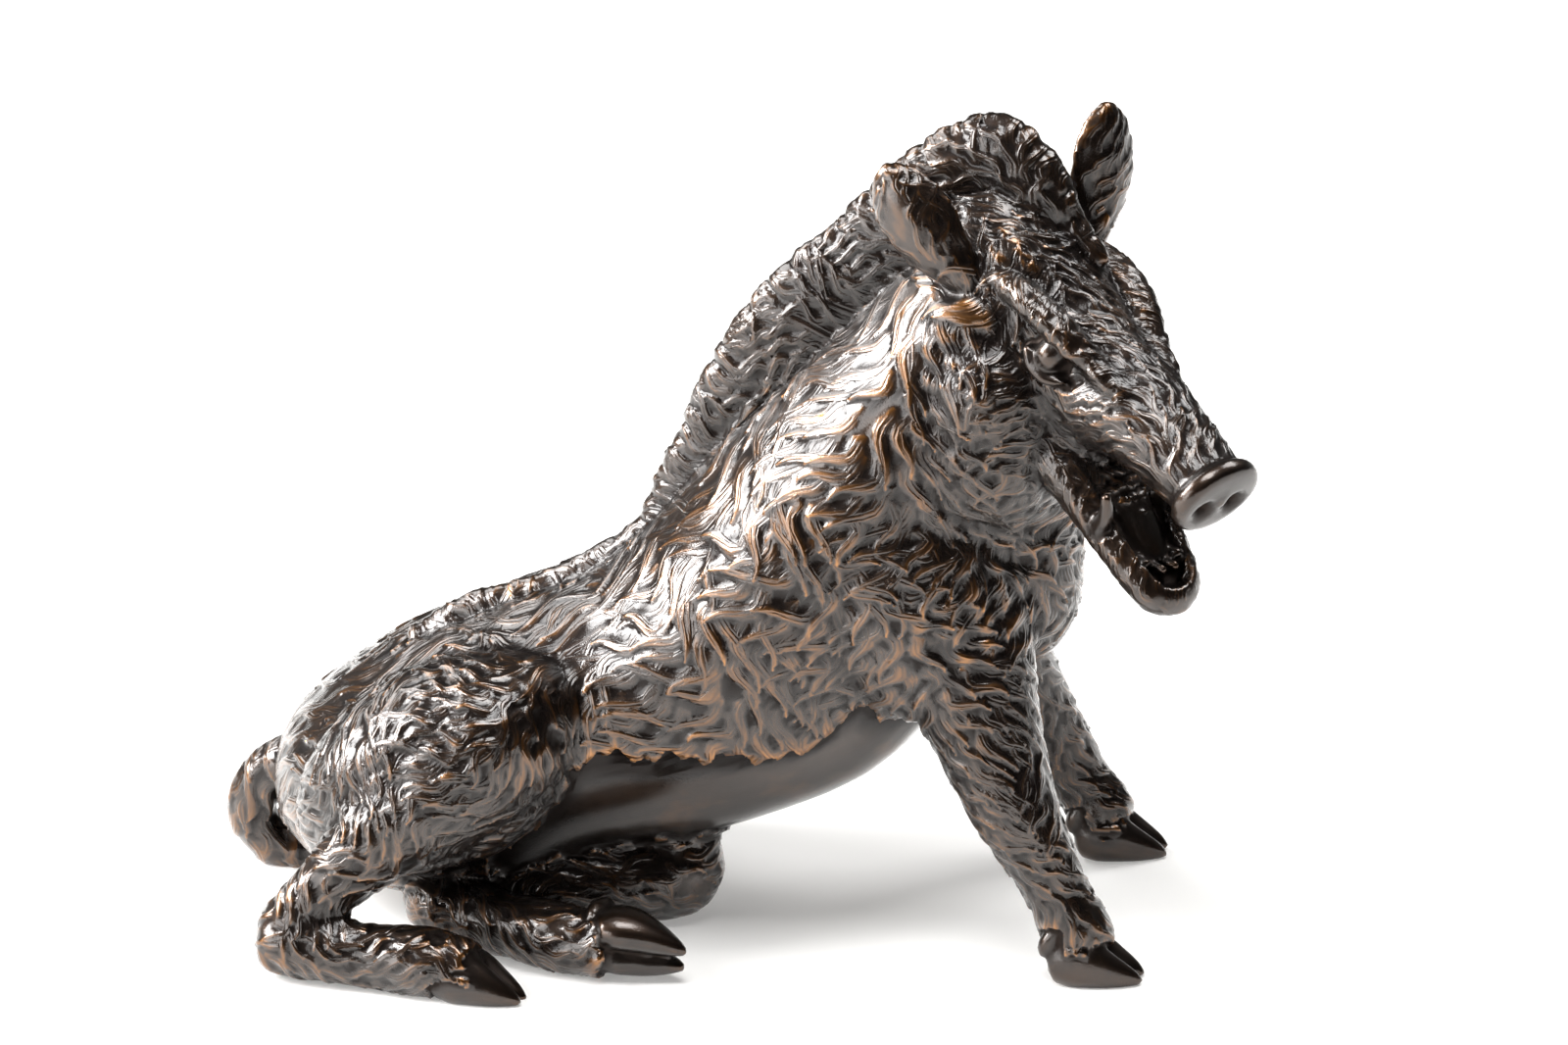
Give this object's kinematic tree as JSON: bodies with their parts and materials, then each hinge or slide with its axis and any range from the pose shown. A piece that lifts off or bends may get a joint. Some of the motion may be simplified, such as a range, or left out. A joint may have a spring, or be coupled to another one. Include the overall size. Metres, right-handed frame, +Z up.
{
  "type": "seated boar sculpture",
  "caption": "Small bronze figure of a wild boar seated on its haunches, forelegs braced and head turned to its right, mouth open, its coat modelled in curling locks under a bristling crest.",
  "frame": {"origin": "centre of the bounding box at the level the figure stands on", "axes": "+X the way the body faces, +Y to the boar's left, +Z up; the head turns towards -Y"},
  "size_m": [0.2122, 0.1006, 0.1726],
  "materials": {
    "patinated_bronze": "cast bronze with a dark brown-black patina, waxed to a soft shine and rubbed golden brown on raised edges"
  },
  "bodies": {
    "root": {"boar": "patinated_bronze"}
  },
  "joints": []
}
